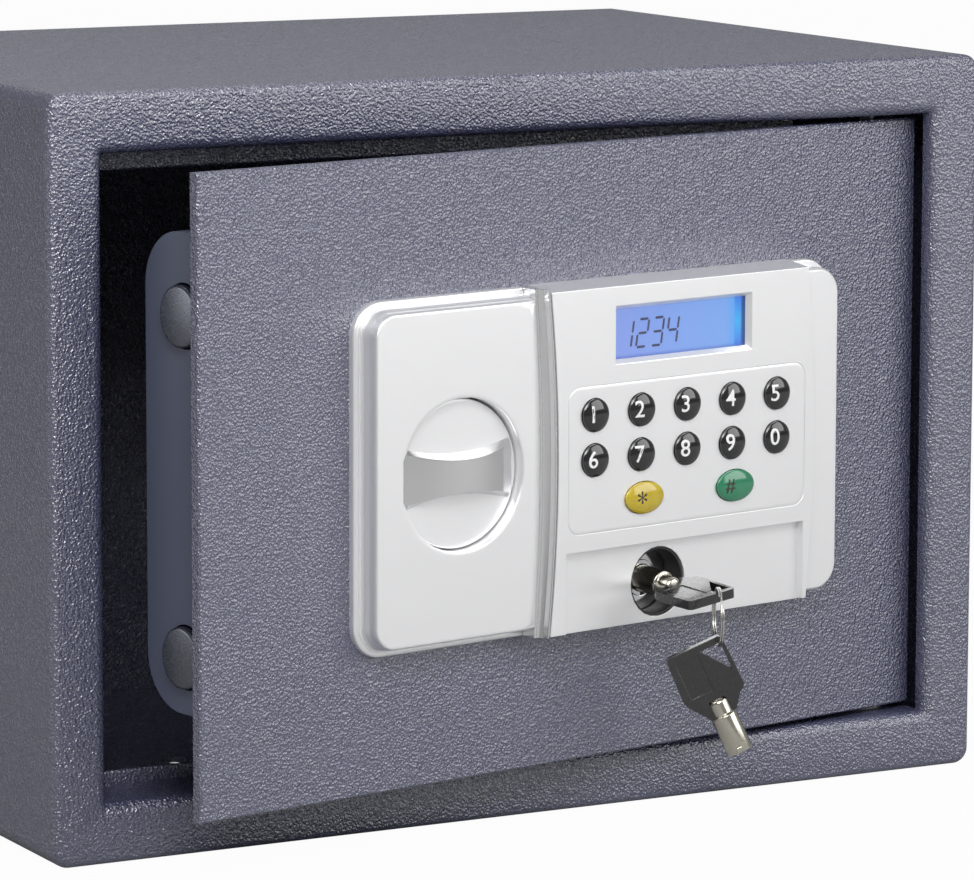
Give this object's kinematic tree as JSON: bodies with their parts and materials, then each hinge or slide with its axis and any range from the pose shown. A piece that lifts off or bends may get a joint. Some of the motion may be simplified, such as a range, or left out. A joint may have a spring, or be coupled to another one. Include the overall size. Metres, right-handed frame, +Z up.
{
  "type": "electronic safe",
  "caption": "Small steel safe with a hinged door carrying a keypad, blue display, turn knob and keyed override lock that throw round bolts.",
  "frame": {"origin": "centre of the cabinet's base, under the middle of its footprint with the door left out", "axes": "+Z up, +Y from the door's side to the rear, +X to the right as one faces the door"},
  "size_m": [0.35, 0.308, 0.25],
  "materials": {
    "textured_paint": "fine hammer-textured slate blue-grey powder coat",
    "smooth_paint": "smooth slate blue paint, satin",
    "battery_lid": "fine-grained black moulding",
    "black_plastic": "black moulding",
    "nylon": "natural nylon",
    "bright_steel": "turned bright steel",
    "zinc_plate": "zinc plated",
    "panel_plastic": "satin silver-white moulding",
    "bright_trim": "bright plated",
    "clear_window": "clear window",
    "display": "lit blue display",
    "board": "green solder mask",
    "rubber": "grey silicone rubber",
    "lock_chrome": "bright chrome",
    "key_nickel": "nickel plated",
    "key_black": "fine-grained black moulding",
    "ring_steel": "nickel plated spring wire",
    "red_button": "glossy red",
    "yellow_button": "glossy yellow",
    "green_button": "glossy green",
    "black_button": "glossy black",
    "cell_jacket": "printed-film jacket, plain"
  },
  "bodies": {
    "cabinet": {"front_frame": "textured_paint", "body_wrap": "textured_paint", "rear_panel": "textured_paint", "hinge_bush_top": "nylon", "hinge_bush_bottom": "nylon"},
    "door": {"battery_box": "black_plastic", "battery_cell_1": "cell_jacket", "battery_cell_2": "cell_jacket", "battery_cell_3": "cell_jacket", "battery_cell_4": "cell_jacket", "battery_cover": "battery_lid", "bolt_guide_lower": "zinc_plate", "bolt_guide_upper": "zinc_plate", "circuit_board": "board", "display_module": "display", "display_window": "clear_window", "divider_strip": "bright_trim", "door_plate": "textured_paint", "hinge_knuckle_bottom": "smooth_paint", "hinge_knuckle_top": "smooth_paint", "hinge_pin_bottom": "bright_steel", "hinge_pin_top": "bright_steel", "key_mat": "rubber", "keypad_housing": "panel_plastic", "keypad_plate": "panel_plastic", "knob_escutcheon": "panel_plastic", "lock_body": "lock_chrome", "lock_nut": "zinc_plate", "mechanism_cover": "smooth_paint", "solenoid": "zinc_plate"},
    "knob": {"turn_knob": "panel_plastic", "knob_spindle": "bright_steel"},
    "boltwork": {"bolt_carrier": "zinc_plate", "bolt_lower": "bright_steel", "bolt_upper": "bright_steel"},
    "plunger": {"solenoid_plunger": "bright_steel"},
    "reset": {"reset_button": "red_button"},
    "lock_key": {"lock_plug": "lock_chrome", "lock_cam": "zinc_plate", "key_stem": "key_nickel", "key_bow": "key_black"},
    "ring": {"split_ring": "ring_steel"},
    "spare_key": {"spare_key_stem": "key_nickel", "spare_key_bow": "key_black"},
    "key_0": {"button_0": "black_button"},
    "key_1": {"button_1": "black_button"},
    "key_2": {"button_2": "black_button"},
    "key_3": {"button_3": "black_button"},
    "key_4": {"button_4": "black_button"},
    "key_5": {"button_5": "black_button"},
    "key_6": {"button_6": "black_button"},
    "key_7": {"button_7": "black_button"},
    "key_8": {"button_8": "black_button"},
    "key_9": {"button_9": "black_button"},
    "key_hash": {"button_hash": "green_button"},
    "key_star": {"button_star": "yellow_button"}
  },
  "joints": [
    {"name": "door_swing", "type": "hinge", "parent": "cabinet", "child": "door", "pos_m": [0.142, -0.104, 0.125], "axis": [0, 0, 1], "range_deg": [-11, 79]},
    {"name": "knob_turn", "type": "hinge", "parent": "door", "child": "knob", "pos_m": [-0.04949, -0.15446, 0.1249], "axis": [-0.1908, 0.9816, 0], "range_deg": [-90, 0]},
    {"name": "bolt_throw", "type": "slide", "parent": "door", "child": "boltwork", "axis": [0.9816, 0.1908, 0], "range_m": [-0.014, 0]},
    {"name": "plunger_lift", "type": "slide", "parent": "door", "child": "plunger", "axis": [0, 0, 1], "range_m": [0, 0.004]},
    {"name": "reset_press", "type": "slide", "parent": "door", "child": "reset", "axis": [0.1908, -0.9816, 0], "range_m": [0, 0.0015], "stiffness_N_per_m": 300},
    {"name": "key_turn", "type": "hinge", "parent": "door", "child": "lock_key", "pos_m": [0.03287, -0.13846, 0.0805], "axis": [-0.1908, 0.9816, 0], "range_deg": [0, 90]},
    {"name": "ring_swing", "type": "hinge", "parent": "lock_key", "child": "ring", "pos_m": [0.04291, -0.17345, 0.07884], "axis": [0.9272, -0.3746, 0], "range_deg": [-12, 12]},
    {"name": "spare_swing", "type": "hinge", "parent": "ring", "child": "spare_key", "pos_m": [0.04291, -0.17345, 0.06233], "axis": [-0.3746, -0.9272, 0], "range_deg": [-20, 20]},
    {"name": "press_0", "type": "slide", "parent": "door", "child": "key_0", "axis": [-0.1908, 0.9816, 0], "range_m": [0, 0.0012], "stiffness_N_per_m": 400},
    {"name": "press_1", "type": "slide", "parent": "door", "child": "key_1", "axis": [-0.1908, 0.9816, 0], "range_m": [0, 0.0012], "stiffness_N_per_m": 400},
    {"name": "press_2", "type": "slide", "parent": "door", "child": "key_2", "axis": [-0.1908, 0.9816, 0], "range_m": [0, 0.0012], "stiffness_N_per_m": 400},
    {"name": "press_3", "type": "slide", "parent": "door", "child": "key_3", "axis": [-0.1908, 0.9816, 0], "range_m": [0, 0.0012], "stiffness_N_per_m": 400},
    {"name": "press_4", "type": "slide", "parent": "door", "child": "key_4", "axis": [-0.1908, 0.9816, 0], "range_m": [0, 0.0012], "stiffness_N_per_m": 400},
    {"name": "press_5", "type": "slide", "parent": "door", "child": "key_5", "axis": [-0.1908, 0.9816, 0], "range_m": [0, 0.0012], "stiffness_N_per_m": 400},
    {"name": "press_6", "type": "slide", "parent": "door", "child": "key_6", "axis": [-0.1908, 0.9816, 0], "range_m": [0, 0.0012], "stiffness_N_per_m": 400},
    {"name": "press_7", "type": "slide", "parent": "door", "child": "key_7", "axis": [-0.1908, 0.9816, 0], "range_m": [0, 0.0012], "stiffness_N_per_m": 400},
    {"name": "press_8", "type": "slide", "parent": "door", "child": "key_8", "axis": [-0.1908, 0.9816, 0], "range_m": [0, 0.0012], "stiffness_N_per_m": 400},
    {"name": "press_9", "type": "slide", "parent": "door", "child": "key_9", "axis": [-0.1908, 0.9816, 0], "range_m": [0, 0.0012], "stiffness_N_per_m": 400},
    {"name": "press_hash", "type": "slide", "parent": "door", "child": "key_hash", "axis": [-0.1908, 0.9816, 0], "range_m": [0, 0.0012], "stiffness_N_per_m": 400},
    {"name": "press_star", "type": "slide", "parent": "door", "child": "key_star", "axis": [-0.1908, 0.9816, 0], "range_m": [0, 0.0012], "stiffness_N_per_m": 400}
  ],
  "couplings": [
    {"joint": "knob_turn", "follows": "bolt_throw", "rad_per_m": 112.2}
  ]
}
